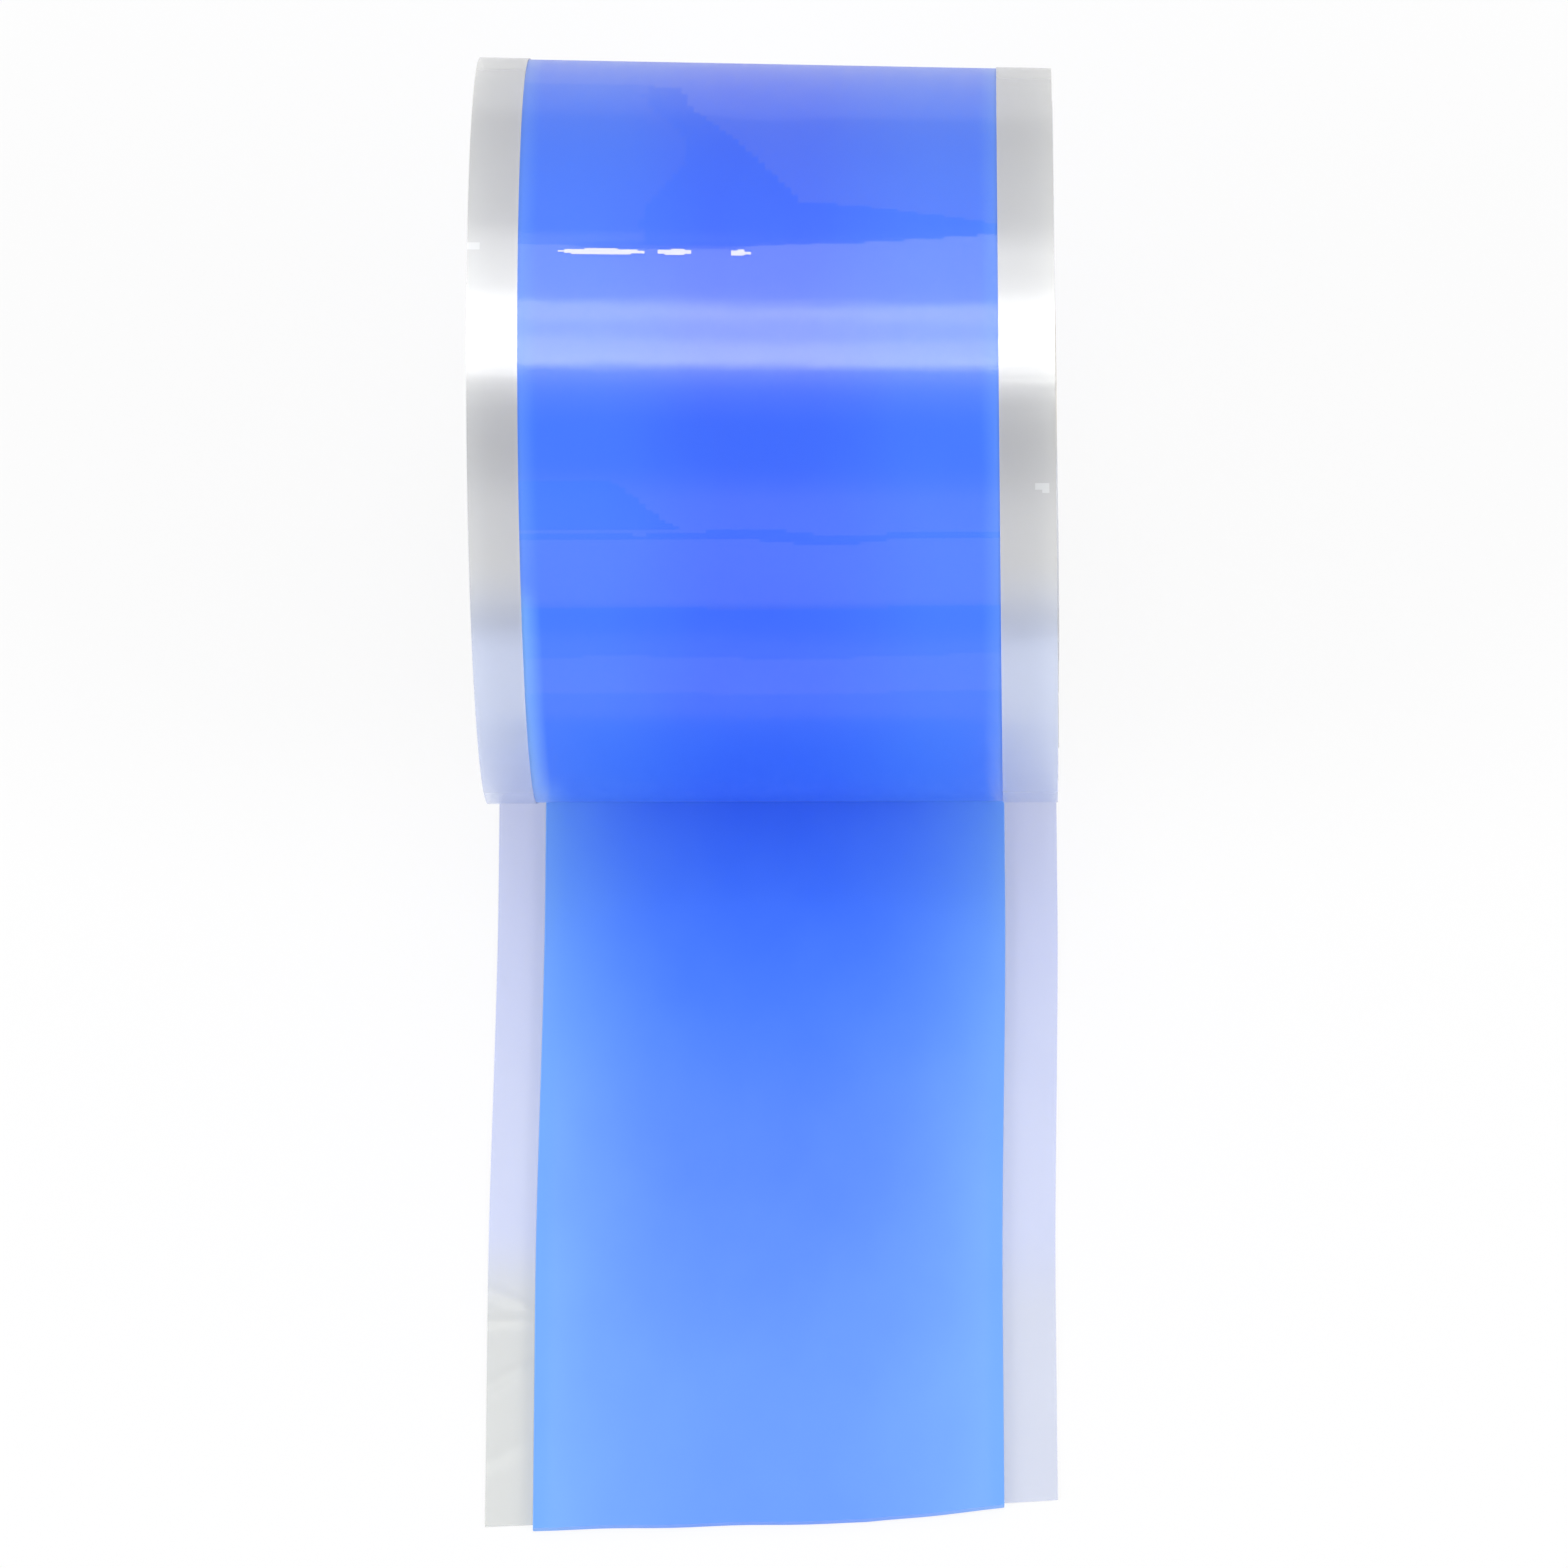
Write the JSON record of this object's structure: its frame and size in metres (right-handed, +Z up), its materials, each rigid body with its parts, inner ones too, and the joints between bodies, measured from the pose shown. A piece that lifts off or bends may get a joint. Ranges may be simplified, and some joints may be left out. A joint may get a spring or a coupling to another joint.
{
  "type": "grip tape roll",
  "caption": "Roll of soft blue grip tape on a wider clear liner film, wound on a paperboard core, with a free tail that lifts, unwinds and peels.",
  "frame": {"origin": "the table point straight below the roll's axis, in the middle of the liner's width", "axes": "+X along the roll's axis, +Y away from the free tail, which lies along -Y, +Z up"},
  "size_m": [0.0308, 0.0743, 0.0397],
  "materials": {
    "grip_tape": "satin",
    "liner_film": "gloss",
    "paperboard": "matte",
    "tack_tape": "matte"
  },
  "bodies": {
    "tail_base": {"tape_base": "grip_tape", "liner_base": "liner_film"},
    "turn_1": {"tape_turn_1": "grip_tape", "liner_turn_1": "liner_film"},
    "turn_2": {"tape_turn_2": "grip_tape", "liner_turn_2": "liner_film"},
    "turn_3": {"tape_turn_3": "grip_tape", "liner_turn_3": "liner_film"},
    "turn_4": {"tape_turn_4": "grip_tape", "liner_turn_4": "liner_film"},
    "turn_5": {"tape_turn_5": "grip_tape", "liner_turn_5": "liner_film"},
    "roll": {"core_tube": "paperboard", "core_tack_strip": "tack_tape", "tape_winding": "grip_tape", "liner_winding": "liner_film"},
    "tail_1": {"tape_tail_1": "grip_tape", "liner_tail_1": "liner_film"},
    "tail_2": {"tape_tail_2": "grip_tape", "liner_tail_2": "liner_film"},
    "tail_3": {"tape_tail_3": "grip_tape", "liner_tail_3": "liner_film"},
    "tail_4": {"tape_tail_4": "grip_tape", "liner_tail_4": "liner_film"},
    "tail_5": {"tape_tail_5": "grip_tape", "liner_tail_5": "liner_film"},
    "tape_tip": {"tape_tip": "grip_tape"}
  },
  "joints": [
    {"name": "unwind_1", "type": "hinge", "parent": "tail_base", "child": "turn_1", "pos_m": [0, 0.00243, 0.0004], "axis": [-1, 0, 0], "range_deg": [0, 15]},
    {"name": "unwind_2", "type": "hinge", "parent": "turn_1", "child": "turn_2", "pos_m": [0, 0.00742, 0.00174], "axis": [-1, 0, 0], "range_deg": [0, 15]},
    {"name": "unwind_3", "type": "hinge", "parent": "turn_2", "child": "turn_3", "pos_m": [0, 0.01189, 0.00432], "axis": [-1, 0, 0], "range_deg": [0, 15]},
    {"name": "unwind_4", "type": "hinge", "parent": "turn_3", "child": "turn_4", "pos_m": [0, 0.01553, 0.00796], "axis": [-1, 0, 0], "range_deg": [0, 15]},
    {"name": "unwind_5", "type": "hinge", "parent": "turn_4", "child": "turn_5", "pos_m": [0, 0.0181, 0.01241], "axis": [-1, 0, 0], "range_deg": [0, 15]},
    {"name": "unwind", "type": "hinge", "parent": "turn_5", "child": "roll", "pos_m": [0, 0.01943, 0.01736], "axis": [-1, 0, 0], "range_deg": [0, 15]},
    {"name": "tail_lift", "type": "hinge", "parent": "tail_base", "child": "tail_1", "pos_m": [0, -0.01, 0.0004], "axis": [-1, 0, 0], "range_deg": [0, 18]},
    {"name": "tail_lift_2", "type": "hinge", "parent": "tail_1", "child": "tail_2", "pos_m": [0, -0.01795, 0.0004], "axis": [-1, 0, 0], "range_deg": [0, 18]},
    {"name": "tail_lift_3", "type": "hinge", "parent": "tail_2", "child": "tail_3", "pos_m": [0, -0.0259, 0.0004], "axis": [-1, 0, 0], "range_deg": [0, 18]},
    {"name": "tail_lift_4", "type": "hinge", "parent": "tail_3", "child": "tail_4", "pos_m": [0, -0.03385, 0.0004], "axis": [-1, 0, 0], "range_deg": [0, 18]},
    {"name": "tail_lift_5", "type": "hinge", "parent": "tail_4", "child": "tail_5", "pos_m": [0, -0.0418, 0.0004], "axis": [-1, 0, 0], "range_deg": [0, 18]},
    {"name": "tape_peel", "type": "hinge", "parent": "tail_5", "child": "tape_tip", "pos_m": [0, -0.0458, 0.0008], "axis": [-1, 0, 0], "range_deg": [0, 140]}
  ],
  "couplings": [
    {"joint": "unwind_1", "follows": "unwind", "ratio": 1},
    {"joint": "unwind_2", "follows": "unwind", "ratio": 1},
    {"joint": "unwind_3", "follows": "unwind", "ratio": 1},
    {"joint": "unwind_4", "follows": "unwind", "ratio": 1},
    {"joint": "unwind_5", "follows": "unwind", "ratio": 1},
    {"joint": "tail_lift_2", "follows": "tail_lift", "ratio": 1},
    {"joint": "tail_lift_3", "follows": "tail_lift", "ratio": 1},
    {"joint": "tail_lift_4", "follows": "tail_lift", "ratio": 1},
    {"joint": "tail_lift_5", "follows": "tail_lift", "ratio": 1}
  ]
}
